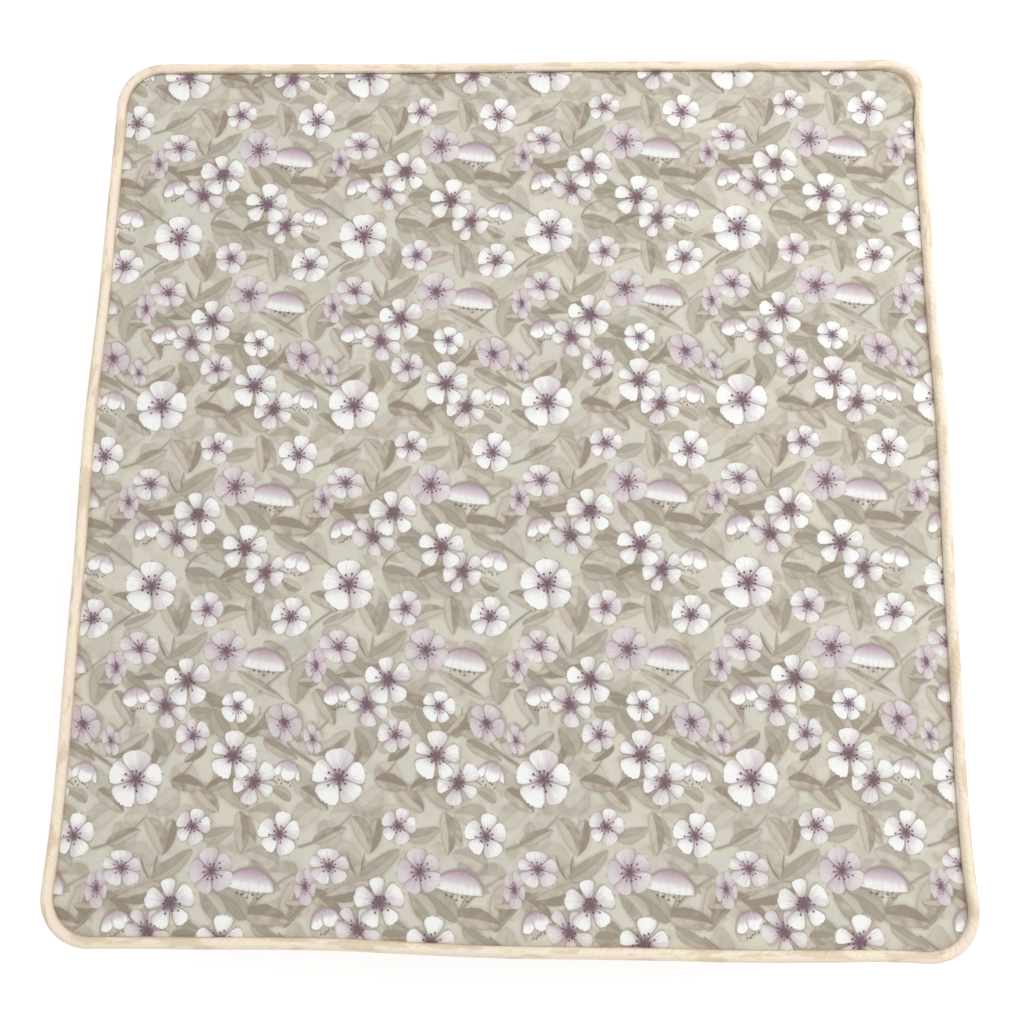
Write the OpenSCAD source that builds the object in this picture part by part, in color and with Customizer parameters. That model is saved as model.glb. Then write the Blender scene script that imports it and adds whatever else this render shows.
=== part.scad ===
// Packing cube: a soft zipped case with a piped lid, a U-shaped zip and a fabric hinge at the back.
// Origin at the centre of the base on the resting surface, +X right, +Y to the hinge, +Z up. Millimetres.

/* [Case] */
// Width over the piping, left to right
case_w = 380; // [300:5:440]
// Length over the piping, front to hinge
case_l = 400; // [320:5:460]
// Height over both pipings
case_h = 100; // [80:5:140]
// Radius of the plan's corners over the piping
corner_r = 22; // [20:1:40]
// Distance from the top down to the zip's centre line
lid_depth = 22; // [20:1:30]

/* [Cloth] */
// Thickness of the printed cloth
cloth_t = 0.8; // [0.6:0.1:1]
// Thickness of the foam interlining
foam_t = 2; // [1.5:0.5:3]
// Thickness of the lining
lining_t = 0.4; // [0.3:0.1:0.6]
// Width of the bound seam allowance inside
binding_w = 7.6; // [6:0.2:8]
// Thickness of the bound seam allowance inside
binding_t = 2.6; // [2:0.2:3]

/* [Piping] */
// Outside diameter of the piping
piping_d = 4.6; // [4:0.2:5]
// Diameter of the cord inside the piping
cord_d = 2.8; // [2:0.2:3]
// Width of the piping's sewn flange, from the outside of the case
flange_reach = 11; // [9:0.5:12]

/* [Zip] */
// Half of the zip's path left open across the back wall, where the hinge is
hinge_half = 150; // [120:5:160]
// Width of each zip tape
tape_w = 11.5; // [10:0.5:13]
// Thickness of each zip tape
tape_t = 0.5; // [0.4:0.1:0.6]
// Width of each half of the coil
coil_w = 2.4; // [2:0.2:2.6]
// Thickness of the coil
coil_t = 2; // [1.6:0.2:2.2]
// Gap in the middle of the chain, which the slider's post runs in
coil_gap = 1.2; // [1:0.1:1.4]
// Half of the width that shows between the two folded cloth edges
zip_window = 6; // [5.5:0.5:7]

/* [Slider] */
// Length of the slider along the zip
slider_l = 12; // [10:0.5:13]
// Width of the slider across the zip
slider_w = 9.2; // [8:0.2:10]
// Distance of each closed slider from the middle of the front
slider_park = 9; // [8:0.5:20]
// Length of the pull tab from its pivot
pull_l = 24; // [20:1:30]
// Width of the pull tab
pull_w = 5.6; // [5:0.2:6]

/* [Handle] */
// Width of the webbing handle
strap_w = 25; // [20:1:30]
// Thickness of the webbing
strap_t = 1.6; // [1.2:0.1:2]
// Half of the free span between the sewn ends
strap_half = 72; // [60:2:80]
// Half of the part held in the hand
grip_half = 30; // [24:2:36]
// How far the webbing bows out from the wall
strap_bow = 16; // [12:1:18]
// Length of each sewn end
strap_end = 26; // [22:1:30]
// Height of the handle's middle above the base
strap_z = 34; // [30:1:36]

/* [Hidden] */
$fn = 64;

printed = [0.82, 0.79, 0.72];
trim = [0.91, 0.83, 0.72];
lining = [0.90, 0.87, 0.80];
foam = [0.95, 0.95, 0.93];
nickel = [0.75, 0.73, 0.70];

piping_r = piping_d / 2;
cord_bore_r = cord_d / 2 + 0.05;
zip_z = case_h - lid_depth;
wall_in = 2.5;                              // the walls' outer face, measured in from the piping's outside
cloth_in = wall_in + cloth_t;               // inner face of the printed walls
lay_gap = 0.1;                              // air between two loose layers
panel_in = piping_d + lay_gap;              // edge of the flat panels, just inside the piping
allowance_t = cloth_t;                      // two plies of bias strip are as thick as the printed cloth
lid_top = case_h - piping_d + allowance_t + cloth_t;   // outer face of the lid panel
lid_under = lid_top - cloth_t;
lid_wall_top = case_h - piping_d;           // where the lid's walls meet the piping flange
lid_lining_z = lid_under - foam_t - lining_t;
base_over = cloth_t;                        // upper face of the base panel
base_foam_top = base_over + foam_t + 1;
base_lining_top = base_foam_top + lining_t;
wall_foot = piping_d;
fold_t = 0.5;                               // the walls' cloth where it's folded down beside the base piping
fold_in = panel_in + fold_t;
allowance_z = base_over + allowance_t;      // the base walls' allowance lies on the piping's flange
wall_lining_in = cloth_in + lay_gap + foam_t;
hinge_slit = 0.3;                           // half of the slit at the hinge line
lid_band_z = zip_z + zip_window;
base_band_top = zip_z - zip_window;
tape_in = cloth_in;
tape_reach = coil_gap / 2 + 1;              // the tape's near edge lies this far from the zip's centre line
coil_out = tape_in - coil_t;                // the coil's outer face, measured in from the piping's outside
behind = 60;                                // deep enough to cut through the back wall

// ---- plan shapes and sweeps ----

// The case's rounded plan, moved in by a distance
module plan(inset) {
    w = case_w - 2 * inset;
    l = case_l - 2 * inset;
    r = corner_r - inset;
    square([w - 2 * r, l], center = true);
    square([w, l - 2 * r], center = true);
    for (sx = [-1, 1], sy = [-1, 1])
        translate([sx * (w / 2 - r), sy * (l / 2 - r)]) circle(r);
}

module sheet(inset, z, t) {
    translate([0, 0, z]) linear_extrude(t) plan(inset);
}

// Sweeps a 2D section round the case: its x is minus the distance in from the outside, its y is the height
module around() {
    straight_w = case_w - 2 * corner_r;
    straight_l = case_l - 2 * corner_r;
    for (turn = [0, 180]) rotate(turn) {
        translate([straight_w / 2, -case_l / 2 + corner_r, 0])
            rotate(-90) rotate_extrude(angle = 90) translate([corner_r, 0]) children();
        translate([straight_w / 2, case_l / 2 - corner_r, 0])
            rotate_extrude(angle = 90) translate([corner_r, 0]) children();
        translate([case_w / 2, straight_l / 2, 0])
            rotate([90, 0, 0]) linear_extrude(straight_l) children();
        translate([-straight_w / 2, case_l / 2, 0])
            rotate([90, 0, 90]) linear_extrude(straight_w) children();
    }
}

// A rectangular section between two insets and two heights
module strip(inset, inset_end, z, z_end) {
    translate([-inset_end, z]) square([inset_end - inset, z_end - z]);
}

// The middle of the back wall, where the hinge gusset is and the zip isn't
module hinge_bay(extra = 0) {
    translate([-hinge_half - extra, case_l / 2 - behind / 2, -1])
        cube([2 * (hinge_half + extra), behind, case_h + 2]);
}

module zipped_walls() {
    difference() {
        around() children();
        hinge_bay();
    }
}

module hinge_wall(inset, inset_end, z, z_end) {
    translate([-hinge_half + lay_gap, case_l / 2 - inset_end, z])
        cube([2 * (hinge_half - lay_gap), inset_end - inset, z_end - z]);
}

// ---- lid ----

module lid_panel() color(printed) sheet(panel_in, lid_under, cloth_t);

module lid_foam() color(foam) sheet(flange_reach + 2 * lay_gap, lid_under - foam_t, foam_t);

module lid_lining() color(lining) sheet(cloth_in + tape_t + lay_gap, lid_lining_z, lining_t);

// Bias strip wrapped round the cord, with its two plies running in under or over the panel
module piping_cover(z, flange_z) color(trim) around() {
    difference() {
        union() {
            translate([-piping_r, z]) circle(piping_r);
            strip(piping_r, flange_reach, flange_z, flange_z + allowance_t);
        }
        translate([-piping_r, z]) circle(cord_bore_r);
    }
}

module piping_cord(z) color(foam) around() translate([-piping_r, z]) circle(cord_d / 2);

module lid_piping_cover() piping_cover(case_h - piping_r, lid_wall_top);

module lid_piping_cord() piping_cord(case_h - piping_r);

module lid_band() color(printed) zipped_walls() {
    strip(wall_in, cloth_in, lid_band_z, lid_wall_top);
    strip(wall_in, flange_reach, lid_wall_top - allowance_t, lid_wall_top);
}

module lid_zip_tape() color(trim) zipped_walls()
    strip(tape_in, tape_in + tape_t, zip_z + tape_reach, zip_z + tape_reach + tape_w);

module lid_zip_coil() color(trim) zipped_walls()
    strip(coil_out, tape_in, zip_z + coil_gap / 2, zip_z + coil_gap / 2 + coil_w);

// The seam allowances, folded in and bound with tape: a flat ridge with a round edge
module seam_binding(inset, z) color(trim) around() {
    strip(inset, inset + binding_w - binding_t / 2, z, z + binding_t);
    translate([-(inset + binding_w - binding_t / 2), z + binding_t / 2]) circle(binding_t / 2);
}

module lid_seam_binding() seam_binding(tape_in + tape_t + lay_gap, lid_lining_z - binding_t);

module hinge_gusset_upper() color(printed) {
    hinge_wall(wall_in, cloth_in, zip_z + hinge_slit, lid_wall_top);
    hinge_wall(wall_in, flange_reach, lid_wall_top - allowance_t, lid_wall_top);
}

// ---- base ----

module base_panel() color(printed) sheet(panel_in, 0, cloth_t);

module base_foam() color(foam) sheet(flange_reach + 2 * lay_gap, base_over, base_foam_top - base_over);

module base_lining() color(lining) sheet(fold_in + lay_gap, base_foam_top, lining_t);

module base_piping_cover() piping_cover(piping_r, base_over);

module base_piping_cord() piping_cord(piping_r);

module base_band() color(printed) zipped_walls() {
    strip(wall_in, cloth_in, wall_foot, base_band_top);
    strip(wall_in, fold_in, wall_foot, wall_foot + allowance_t);
    strip(panel_in, fold_in, allowance_z, wall_foot + allowance_t);
    strip(panel_in, flange_reach, allowance_z, allowance_z + allowance_t);
}

foam_foot = wall_foot + allowance_t + lay_gap;
tape_foot = zip_z - tape_reach - tape_w;

module base_band_foam() color(foam) zipped_walls()
    strip(cloth_in, cloth_in + foam_t, foam_foot, tape_foot - lay_gap);

module base_band_lining() color(lining) zipped_walls()
    strip(wall_lining_in, wall_lining_in + lining_t, base_lining_top + lay_gap, base_band_top - 2);

module base_zip_tape() color(trim) zipped_walls()
    strip(tape_in, tape_in + tape_t, tape_foot, zip_z - tape_reach);

module base_zip_coil() color(trim) zipped_walls()
    strip(coil_out, tape_in, zip_z - coil_gap / 2 - coil_w, zip_z - coil_gap / 2);

module base_seam_binding() seam_binding(wall_lining_in + lining_t + lay_gap, base_lining_top + lay_gap);

module hinge_gusset_lower() color(printed) {
    hinge_wall(wall_in, cloth_in, wall_foot, zip_z - hinge_slit);
    hinge_wall(wall_in, fold_in, wall_foot, wall_foot + allowance_t);
    hinge_wall(panel_in, fold_in, allowance_z, wall_foot + allowance_t);
    hinge_wall(panel_in, flange_reach, allowance_z, allowance_z + allowance_t);
}

module hinge_gusset_foam() color(foam)
    hinge_wall(cloth_in, cloth_in + foam_t, foam_foot, tape_foot - lay_gap);

module hinge_gusset_lining() color(lining)
    hinge_wall(wall_lining_in, wall_lining_in + lining_t, base_lining_top + lay_gap, base_band_top - 2);

// ---- sliders and pulls, drawn with the zip along X and the outward side along -Y ----

plate_t = 1.3;
run_gap = 0.3;                              // air between the slider and the chain
plate_in = coil_out - run_gap;              // inner face of the outer plate
plate_out = plate_in - plate_t;             // outer face of the outer plate
back_plate_in = tape_in + tape_t + run_gap;
back_plate_t = 1.1;
post_w = coil_gap - 0.4;
window_h = 1.9;                             // height of the opening under the crown
crown_l = 7.2;
crown_w = 1.8;
crown_wall = 1;
pivot_d = 1.2;
pivot_out = plate_out - window_h / 2;       // the pull's pivot line
arm_gap = crown_w + 0.6;
arm_l = 5.4;
slot_l = 9;
slot_w = 2;

// A slider's plate: wide at its mouth and narrower at its tail, with round corners
module slider_plate() {
    r = 2;
    tail_w = slider_w - 2;
    mouth = slider_l / 2 - r;
    points = concat(
        [for (a = [-90:15:0]) [mouth + r * cos(a), -slider_w / 2 + r + r * sin(a)]],
        [for (a = [0:15:90]) [mouth + r * cos(a), slider_w / 2 - r + r * sin(a)]],
        [for (a = [90:15:180]) [-mouth + r * cos(a), tail_w / 2 - r + r * sin(a)]],
        [for (a = [180:15:270]) [-mouth + r * cos(a), -tail_w / 2 + r + r * sin(a)]]
    );
    polygon(points);
}

// Puts a flat outline in a plane parallel to the front wall, from one inset to another
module on_front(inset, inset_end) {
    translate([0, -case_l / 2 + inset_end, zip_z]) rotate([90, 0, 0])
        linear_extrude(inset_end - inset) children();
}

module slider_body() {
    on_front(plate_out, plate_in) slider_plate();
    on_front(back_plate_in, back_plate_in + back_plate_t) slider_plate();
    on_front(plate_in - lay_gap, back_plate_in + lay_gap)
        translate([slider_l / 2 - 3.4, -post_w / 2]) square([2.2, post_w]);
    difference() {
        on_front(plate_out - window_h - crown_wall, plate_out + lay_gap)
            square([crown_l, crown_w], center = true);
        on_front(plate_out - window_h, plate_out)
            square([crown_l - 2 * crown_wall, crown_w + 1], center = true);
    }
}

// The pull lies flat along the zip, away from the slider's mouth
module pull_tab() {
    tab_in = pivot_out - pivot_d / 2;
    on_front(tab_in, tab_in + pivot_d) difference() {
        union() {
            translate([-pull_l + pull_w / 2, 0]) circle(pull_w / 2);
            translate([-pull_l + pull_w / 2, -pull_w / 2]) square([pull_l - pull_w / 2, pull_w]);
        }
        translate([-arm_l, -arm_gap / 2]) square([arm_l + 1, arm_gap]);
        translate([-pull_l + pull_w / 2, -slot_w / 2]) square([slot_l, slot_w]);
        for (x = [0, slot_l]) translate([-pull_l + pull_w / 2 + x, 0]) circle(slot_w / 2);
    }
    translate([0, -case_l / 2 + pivot_out, zip_z - pull_w / 2]) cylinder(d = pivot_d, h = pull_w);
}

// Places a piece drawn at the middle of the front on the left or the right slider's parking place
module parked(side) {
    translate([side * slider_park, 0, 0]) mirror([side > 0 ? 1 : 0, 0, 0]) children();
}

module slider_left() color(nickel) parked(-1) slider_body();
module slider_right() color(nickel) parked(1) slider_body();
module pull_left() color(nickel) parked(-1) pull_tab();
module pull_right() color(nickel) parked(1) pull_tab();

// ---- handle: webbing sewn down at both ends, bowed out between them ----

wall_y = case_l / 2 - wall_in;

function bow(x) = strap_bow * pow(cos(90 * x / strap_half), 2);

// Webbing that follows the bow from one x to another
module bowed_strap(from, to, steps) {
    xs = [for (i = [0:steps]) from + (to - from) * i / steps];
    inner = [for (x = xs) [x, wall_y + bow(x)]];
    outer = [for (i = [0:steps]) [xs[steps - i], wall_y + bow(xs[steps - i]) + strap_t]];
    translate([0, 0, strap_z - strap_w / 2]) linear_extrude(strap_w) polygon(concat(inner, outer));
}

module strap_end_piece() {
    translate([strap_half, wall_y, strap_z - strap_w / 2]) cube([strap_end, strap_t, strap_w]);
}

module strap_leg() {
    bowed_strap(grip_half, strap_half, 10);
}

module handle_end_left() color(trim) mirror([1, 0, 0]) strap_end_piece();
module handle_end_right() color(trim) strap_end_piece();
module handle_leg_left() color(trim) mirror([1, 0, 0]) strap_leg();
module handle_leg_right() color(trim) strap_leg();
module handle_grip() color(trim) bowed_strap(-grip_half, grip_half, 16);

lid_panel();
lid_foam();
lid_lining();
lid_piping_cover();
lid_piping_cord();
lid_band();
lid_zip_tape();
lid_zip_coil();
lid_seam_binding();
hinge_gusset_upper();
base_panel();
base_foam();
base_lining();
base_piping_cover();
base_piping_cord();
base_band();
base_band_foam();
base_band_lining();
base_zip_tape();
base_zip_coil();
base_seam_binding();
hinge_gusset_lower();
hinge_gusset_foam();
hinge_gusset_lining();
slider_left();
slider_right();
pull_left();
pull_right();
handle_end_left();
handle_end_right();
handle_leg_left();
handle_leg_right();
handle_grip();
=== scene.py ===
"""The looks of a soft packing cube: printed cloth, fabric piping, zip, lining and webbing handle.

Sizes are in millimetres until a mesh is made. Soft pieces are drawn where the CAD has them, as a plain
flat and straight case, and soften() then sags, bows and creases all the layers as one.
"""

import math

import bpy
import numpy as np
from mathutils import Matrix, Vector


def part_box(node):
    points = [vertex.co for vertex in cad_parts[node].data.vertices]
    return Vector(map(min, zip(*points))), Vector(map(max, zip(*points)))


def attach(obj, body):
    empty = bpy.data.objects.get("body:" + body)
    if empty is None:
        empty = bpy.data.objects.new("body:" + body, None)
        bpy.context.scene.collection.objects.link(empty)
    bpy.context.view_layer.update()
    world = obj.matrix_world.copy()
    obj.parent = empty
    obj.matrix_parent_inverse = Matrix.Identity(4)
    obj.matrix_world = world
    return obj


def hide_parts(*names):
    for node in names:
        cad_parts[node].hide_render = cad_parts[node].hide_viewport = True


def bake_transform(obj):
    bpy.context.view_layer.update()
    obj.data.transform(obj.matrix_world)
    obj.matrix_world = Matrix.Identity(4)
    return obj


MM = 0.001

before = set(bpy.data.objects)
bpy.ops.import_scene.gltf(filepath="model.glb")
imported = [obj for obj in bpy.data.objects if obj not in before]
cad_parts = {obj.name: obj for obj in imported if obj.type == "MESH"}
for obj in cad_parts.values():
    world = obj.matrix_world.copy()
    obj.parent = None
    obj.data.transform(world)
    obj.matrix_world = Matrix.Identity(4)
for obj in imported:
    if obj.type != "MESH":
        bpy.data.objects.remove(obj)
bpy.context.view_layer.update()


# ---- sizes, from the frame ----

def box_mm(node):
    low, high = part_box(node)
    return np.array(low) / MM, np.array(high) / MM


HALF_W, HALF_L, TOP = box_mm("lid_piping_cover")[1]
CORNER = 22.0                                   # plan radius over the piping
PIPING_R = 2.3
CLOTH = 0.8
WALL_FOOT = 2 * PIPING_R                        # the walls start at the base piping's top
WALL_IN = HALF_W - box_mm("lid_band")[1][0]     # the walls' outer face, in from the piping's outside
ZIP_Z = (box_mm("lid_zip_coil")[0][2] + box_mm("base_zip_coil")[1][2]) / 2
WALL_MIDDLE = WALL_IN + CLOTH / 2
WALL_Y = HALF_L - WALL_IN                       # the back wall's outer face
PANEL_IN = HALF_W - box_mm("lid_panel")[1][0]
FLANGE_IN = 11.0                                # how far in the seams' raw edges lie
FOAM_T = 2.0
LINING_T = 0.4
HINGE_HALF = box_mm("hinge_gusset_upper")[1][0]
HINGE_Y = WALL_Y + 1.3                          # the hinge line
CORE_W = HALF_W - CORNER
CORE_L = HALF_L - CORNER
ARC = CORNER * math.pi / 2


# ---- the way round the case ----

KNOTS = np.cumsum([0, CORE_W, ARC, 2 * CORE_L, ARC, 2 * CORE_W, ARC, 2 * CORE_L, ARC, CORE_W])
PERIMETER = KNOTS[-1]
KNOT_ANGLE = np.radians([-90, -90, 0, 0, 90, 90, 180, 180, 270, 270])
KNOT_X = CORE_W * np.array([0, 1, 1, 1, 1, -1, -1, -1, -1, 0])
KNOT_Y = CORE_L * np.array([-1, -1, -1, 1, 1, 1, 1, -1, -1, -1])
HINGE_START = KNOTS[4] + CORE_W - HINGE_HALF    # the hinge gusset's right end, going anticlockwise
HINGE_END = KNOTS[4] + CORE_W + HINGE_HALF


def around(s, inset, z):
    """Points at distances s anticlockwise from the middle of the front, and that far in from the outside."""
    s = np.asarray(s, float)
    wrapped = np.mod(s, PERIMETER)
    wrapped = np.where((wrapped == 0) & (s > 0), PERIMETER, wrapped)
    angle = np.interp(wrapped, KNOTS, KNOT_ANGLE)
    reach = CORNER - inset
    x = np.interp(wrapped, KNOTS, KNOT_X) + reach * np.cos(angle)
    y = np.interp(wrapped, KNOTS, KNOT_Y) + reach * np.sin(angle)
    return np.stack(np.broadcast_arrays(x, y, z), -1)


def stations(start, end, step):
    """Distances round the case, close together at the corners."""
    marks = [k for k in np.concatenate([KNOTS, KNOTS[1:] + PERIMETER]) if start < k < end]
    edges = [start, *marks, end]
    found = [start]
    for a, b in zip(edges, edges[1:]):
        if b - a < 1e-6:
            continue
        count = max(1, round((b - a) / step))
        found.extend(a + (b - a) * (i + 1) / count for i in range(count))
    return np.array(found)


def smooth(a, b, x):
    t = np.clip((x - a) / (b - a), 0, 1)
    return t * t * (3 - 2 * t)


def side_of(p):
    """How far points are in from the outside, and the way out from each."""
    core = np.clip(p[..., :2], [-CORE_W, -CORE_L], [CORE_W, CORE_L])
    out = p[..., :2] - core
    reach = np.linalg.norm(out, axis=-1)
    normal = out / np.maximum(reach, 1e-9)[..., None]
    return CORNER - reach, normal


# ---- how the cloth sags and bows ----

def bump_at(p, x, y, spread):
    return np.exp(-((p[..., 0] - x) ** 2 + (p[..., 1] - y) ** 2) / (2 * spread ** 2))


def ridge(p, x0, y0, x1, y1, width):
    """1 along a short line in plan, fading out to the sides and ends."""
    line = np.array([x1 - x0, y1 - y0])
    length = np.linalg.norm(line)
    line = line / length
    along = (p[..., 0] - x0) * line[0] + (p[..., 1] - y0) * line[1]
    across = (p[..., 0] - x0) * -line[1] + (p[..., 1] - y0) * line[0]
    ends = smooth(-width, width, along) * (1 - smooth(length - width * 2, length + width, along))
    return ends * np.exp(-(across ** 2) / (2 * width ** 2))


def soften(points):
    """Moves points of the flat, straight case to where the soft one has them. The zip stays straight."""
    p = np.array(points, float)
    inset, normal = side_of(p)
    x, y, z = p[..., 0].copy(), p[..., 1].copy(), p[..., 2].copy()

    # the walls bulge, and the back wall bows in
    belly = np.sin(math.pi * np.clip((z - WALL_FOOT) / (ZIP_Z - 7 - WALL_FOOT), 0, 1))
    bulge = 1.6 + 0.7 * np.sin(x / 29 + 0.6) * np.cos(y / 33) + 0.5 * np.sin((x + y) / 17)
    back = smooth(HALF_L - 40, HALF_L - 10, y)
    bulge = bulge * (1 - back) - 0.9 * back             # the open lid's piping lies against the back wall
    p[..., :2] += (belly * bulge * smooth(14, 7, inset))[..., None] * normal

    # puckers beside the seams
    pucker = 0.5 + 0.5 * np.sin((x + y) / 2.3 + 2 * np.sin((x - y) / 19) + np.sin(x / 7))
    seams = smooth(WALL_FOOT + 13, WALL_FOOT + 1, z) * smooth(WALL_FOOT, WALL_FOOT + 2, z)
    seams += smooth(TOP - 14, TOP - 7, z) * smooth(TOP - 4.8, TOP - 6, z)
    p[..., :2] += (0.4 * pucker * seams * smooth(5, 3.4, inset))[..., None] * normal

    # the lid's outline wanders and its corners stand out
    lift = smooth(ZIP_Z + 3, TOP - 4, z)
    p[..., 0] += lift * x / HALF_W * (0.6 * np.sin(y / 41 + 1.3) + 0.25 * np.sin(y / 17 + 0.4))
    p[..., 1] += lift * (1 - back) * y / HALF_L * (0.7 * np.sin(x / 46 + 0.7) + 0.3 * np.sin(x / 19 + 2.1))
    lobes = 0.8 * bump_at(p, -HALF_W + 8, -HALF_L + 8, 16) + 1.3 * bump_at(p, HALF_W - 8, -HALF_L + 8, 14)
    lobes += 3.2 * bump_at(p, HALF_W - 6, HALF_L - 6, 9)
    p[..., :2] += (lift * lobes)[..., None] * normal
    # the panel sags, swells at the back and creases near one corner
    dent = 1.4 * bump_at(p, HALF_W - 12, HALF_L - 12, 10)
    dent -= 4.4 * np.exp(-((inset - 5.2) / 1.1) ** 2) * bump_at(p, HALF_W - 7, HALF_L - 7, 10)
    dent += 2.4 * ridge(p, HALF_W - 2, HALF_L - 22, HALF_W - 30, HALF_L - 29, 3.0)
    dent += 1.4 * ridge(p, HALF_W - 5, HALF_L - 34, HALF_W - 24, HALF_L - 52, 3.0)
    sag = -1.3 * (1 - (x / HALF_W) ** 2) * (1 - (y / HALF_L) ** 2)
    sag += 0.35 * np.sin(x / 31 + 0.5) * np.sin(y / 37 + 1.1) + 0.2 * np.sin(x / 13 + y / 21)
    swell = 1.2 * smooth(HALF_L - 30, HALF_L - 4, y) * smooth(16, 7, inset)
    p[..., 2] += lift * (smooth(3.4, 13, inset) * sag + smooth(3.4, 5.5, inset) * (dent + swell))
    p[..., 2] += lift * (0.35 * np.sin(x / 38 + 0.2) + 0.3 * np.sin(y / 33 + 0.9))
    return p


# ---- meshes ----

def tube_faces(rings, sides, loop=False):
    """The quads between rings of points, and from the last ring to the first in a loop."""
    i = np.arange(rings if loop else rings - 1)[:, None]
    j = np.arange(sides)[None, :]
    after, beside = (i + 1) % rings, (j + 1) % sides
    return np.stack(np.broadcast_arrays(
        i * sides + j, after * sides + j, after * sides + beside, i * sides + beside), -1).reshape(-1, 4)


def end_caps(ring, sides):
    """Quads that close a ring of points whose second half runs back beside its first."""
    j = np.arange(sides // 2 - 1)
    return np.stack([j, j + 1, sides - 2 - j, sides - 1 - j], -1) + ring * sides


def loft(rings):
    """A closed skin over a stack of rings with the same number of points."""
    count, sides = rings.shape[:2]
    faces = [tube_faces(count, sides), end_caps(0, sides)[:, ::-1], end_caps(count - 1, sides)]
    return rings.reshape(-1, 3), np.vstack(faces)


def signed_volume(verts, faces):
    a, b, c, d = (verts[faces[:, i]] for i in range(4))
    return (np.einsum("ij,ij->i", a, np.cross(b, c)) + np.einsum("ij,ij->i", a, np.cross(c, d))).sum() / 6


def add_object(name, data):
    obj = bpy.data.objects.new(name, data)
    bpy.context.scene.collection.objects.link(obj)
    return obj


def add_mesh(name, verts, faces, flat=None, soft=True, sharp=40):
    """A closed mesh of quads. flat holds each face corner's place on the uncut cloth, in millimetres."""
    verts = np.asarray(verts, float)
    faces = np.asarray(faces, int)
    if signed_volume(verts, faces) < 0:
        faces = faces[:, ::-1]
        flat = None if flat is None else flat[:, ::-1]
    if soft:
        verts = soften(verts)
    mesh = bpy.data.meshes.new(name)
    mesh.from_pydata((verts * MM).tolist(), [], faces.tolist())
    mesh.shade_smooth()
    mesh.set_sharp_from_angle(angle=math.radians(sharp))
    if flat is not None:
        place = np.zeros((flat.shape[0] * flat.shape[1], 3), np.float32)
        place[:, :2] = flat.reshape(-1, 2)
        store(mesh, "flat", place)
    return add_object(name, mesh)


def store(mesh, name, values):
    layer = mesh.attributes.new(name, "FLOAT_VECTOR", "CORNER")
    layer.data.foreach_set("vector", np.asarray(values, np.float32).ravel())


def sweep(name, sections, start, end, step):
    """Sweeps closed sections, lists of (inset, z) points, round the case from one distance to another."""
    s = stations(start, end, step)
    loop = abs(end - start - PERIMETER) < 1e-6
    rings = len(s) - 1 if loop else len(s)
    verts, faces, flat = [], [], []
    offset = 0
    for section in sections:
        section = np.asarray(section, float)
        count = len(section)
        ring_points = around(s[:rings, None], section[None, :, 0], section[None, :, 1])
        verts.append(ring_points.reshape(-1, 3))
        steps = np.linalg.norm(np.diff(np.vstack([section, section[:1]]), axis=0), axis=1)
        girth = np.concatenate([[0], np.cumsum(steps)])
        faces.append(tube_faces(rings, count, loop) + offset)
        s0, s1 = s[:-1][:, None], s[1:][:, None]
        g0, g1 = girth[:-1][None, :], girth[1:][None, :]
        corners = [(s0, g0), (s1, g0), (s1, g1), (s0, g1)]
        places = [np.stack(np.broadcast_arrays(a, b), -1) for a, b in corners]
        flat.append(np.stack(places, -2).reshape(-1, 4, 2))
        if not loop:
            caps = end_caps(0, count)
            for ring, cap in ((0, caps[:, ::-1]), (rings - 1, caps)):
                faces.append(cap + ring * count + offset)
                flat.append(np.stack([np.full(cap.shape, s[ring]), girth[cap]], -1))
        offset += rings * count
    return add_mesh(name, np.vstack(verts), np.vstack(faces), np.vstack(flat))


def sheet_grid(name, inset, z, thickness, step, lip=0.0):
    """A flat rounded panel with its own thickness. lip is how far its edge is turned down."""
    half_w, half_l, radius = HALF_W - inset, HALF_L - inset, CORNER - inset

    def axis(half):
        middle = np.linspace(-(half - radius), half - radius, max(2, round(2 * (half - radius) / step)) + 1)
        ends = np.linspace(0, radius, max(3, round(radius / min(step, 1.3))) + 1)[1:]
        return np.concatenate([-(half - radius) - ends[::-1], middle, half - radius + ends])

    gx, gy = np.meshgrid(axis(half_w), axis(half_l), indexing="ij")
    cx = np.clip(gx, radius - half_w, half_w - radius)
    cy = np.clip(gy, radius - half_l, half_l - radius)
    a, b = (gx - cx) / radius, (gy - cy) / radius
    x = cx + radius * a * np.sqrt(1 - b * b / 2)
    y = cy + radius * b * np.sqrt(1 - a * a / 2)
    nx, ny = x.shape
    plan = np.stack([x, y], -1)
    edge_in, _ = side_of(np.dstack([x, y, np.zeros_like(x)]))
    drop = lip * (1 - smooth(inset, inset + 2.5, edge_in))
    upper = np.dstack([x, y, z + thickness - drop])
    lower = np.dstack([x, y, z - drop * 0.5])
    verts = np.vstack([upper.reshape(-1, 3), lower.reshape(-1, 3)])
    index = np.arange(nx * ny).reshape(nx, ny)
    quads = np.stack([index[:-1, :-1], index[1:, :-1], index[1:, 1:], index[:-1, 1:]], -1).reshape(-1, 4)
    under = quads[:, ::-1] + nx * ny
    rim = np.concatenate([index[:-1, 0], index[-1, :-1], index[:0:-1, -1], index[0, :0:-1]])
    following = np.roll(rim, -1)
    side = np.stack([following, rim, rim + nx * ny, following + nx * ny], -1)
    faces = np.vstack([quads, under, side])
    places = np.vstack([plan.reshape(-1, 2), plan.reshape(-1, 2)])
    return add_mesh(name, verts, faces, places[faces])


def finish_piece(obj, body, slot, material, *nodes):
    """Gives a piece its material and body, and hides the CAD nodes that it stands for; slot is not used."""
    obj.data.materials.append(material)
    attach(obj, body)
    if nodes:
        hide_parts(*nodes)
    return obj


# ---- shader arithmetic ----

def linear(r, g, b):
    """A colour given as 0 to 255, as the linear colour that a shader takes."""
    def one(c):
        c = c / 255
        return c / 12.92 if c <= 0.04045 else ((c + 0.055) / 1.055) ** 2.4
    return (one(r), one(g), one(b), 1.0)


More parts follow.
